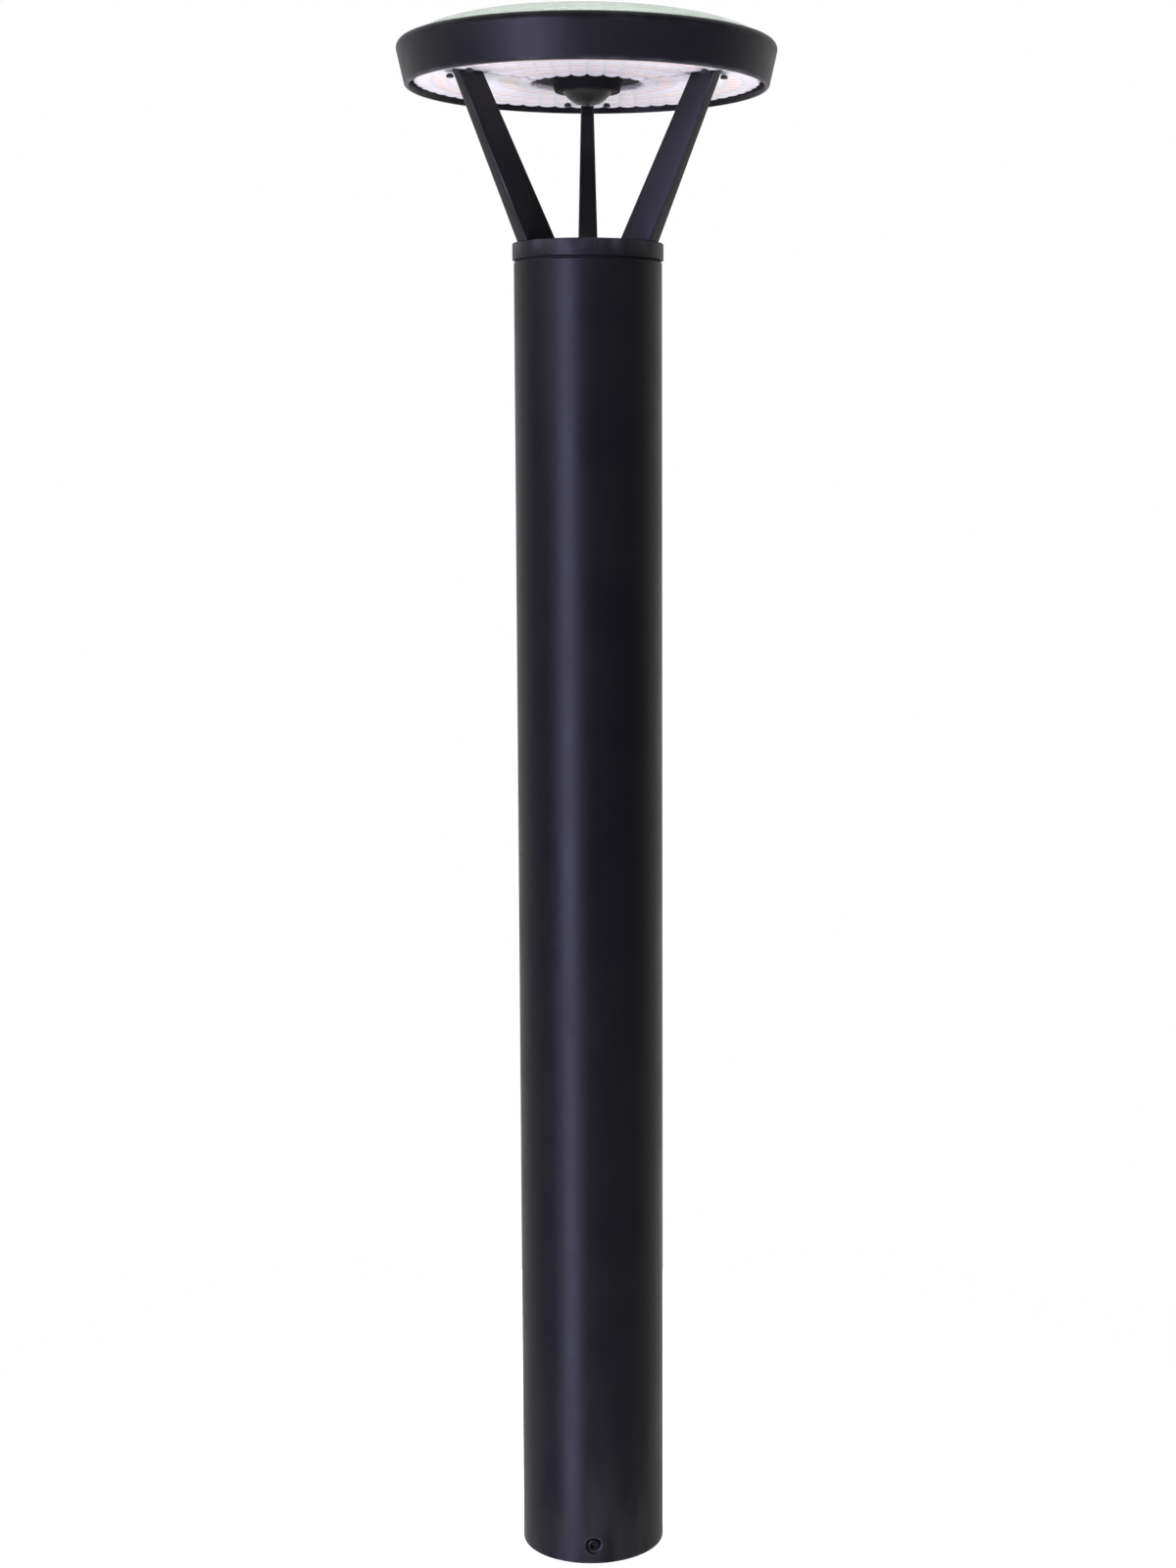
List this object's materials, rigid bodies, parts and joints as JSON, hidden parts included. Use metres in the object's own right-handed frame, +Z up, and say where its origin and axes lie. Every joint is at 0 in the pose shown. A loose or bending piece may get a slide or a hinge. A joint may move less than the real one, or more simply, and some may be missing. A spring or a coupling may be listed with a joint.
{
  "type": "bollard light",
  "caption": "Round post with a slim cap, leaning struts and a shallow disc head: domed solar cover above, lensed LED ring and motion sensor below.",
  "frame": {"origin": "on the ground, on the pole's axis, at the bottom of the pole", "axes": "+Z up along the pole; front at -Y, between the two front struts; the third strut stands at +Y"},
  "size_m": [0.258, 0.258, 1.0751],
  "materials": {
    "powder_coat": "satin black powder coat on aluminium",
    "cast_alloy": "as cast, bead blasted",
    "black_steel": "black oxide",
    "stainless": "turned",
    "black_rubber": "matte",
    "grey_silicone": "matte",
    "white_board": "white solder mask on aluminium core",
    "phosphor": "phosphor under clear silicone",
    "lens_plastic": "clear moulded lens plate over a white board",
    "smoke_plastic": "smoked, satin",
    "dome_plastic": "clear polycarbonate with a pale green edge",
    "black_plastic": "fine texture",
    "black_parts": "moulded",
    "white_plastic": "moulded",
    "green_board": "solder mask",
    "silicon": "dark blue cells with fine grid lines",
    "nickel": "plated",
    "cell_wrap": "shrink sleeve",
    "black_cable": "jacketed",
    "grey_cable": "jacketed",
    "red_cable": "jacketed",
    "yellow_cable": "jacketed"
  },
  "bodies": {
    "root": {"anchor_base": "cast_alloy", "base_screws": "black_steel", "pole_shaft": "powder_coat", "pole_top_ring": "cast_alloy", "cap_gasket": "black_rubber", "pole_cap": "powder_coat", "cap_screws": "black_steel", "strut_rear": "powder_coat", "strut_left": "powder_coat", "strut_right": "powder_coat", "foot_screws": "stainless", "head_screws": "stainless", "head_housing": "powder_coat", "led_board_front": "white_board", "led_board_left": "white_board", "led_board_right": "white_board", "led_emitters": "phosphor", "lens_front": "lens_plastic", "lens_left": "lens_plastic", "lens_right": "lens_plastic", "lens_gaskets": "grey_silicone", "lens_screws": "black_steel", "sensor_housing": "black_plastic", "sensor_lens": "smoke_plastic", "sensor_board": "green_board", "sensor_seal": "black_rubber", "pyro_sensor": "nickel", "sensor_screws": "stainless", "solar_tray": "white_plastic", "solar_cells": "silicon", "tray_screws": "stainless", "dome_gasket": "black_rubber", "dome_cover": "dome_plastic", "vent_plug": "black_plastic", "head_connector": "white_plastic", "harness_cable": "black_cable", "sensor_lead": "grey_cable", "panel_lead": "red_cable", "led_leads": "yellow_cable", "tie_rods": "stainless", "rod_spacers": "white_plastic", "rod_nuts": "stainless", "cell_holders": "black_plastic", "battery_cells": "cell_wrap", "bus_plates": "nickel", "battery_plug": "white_plastic", "controller_board": "green_board", "controller_parts": "black_parts", "controller_plugs": "white_plastic", "battery_lead": "red_cable"}
  },
  "joints": []
}
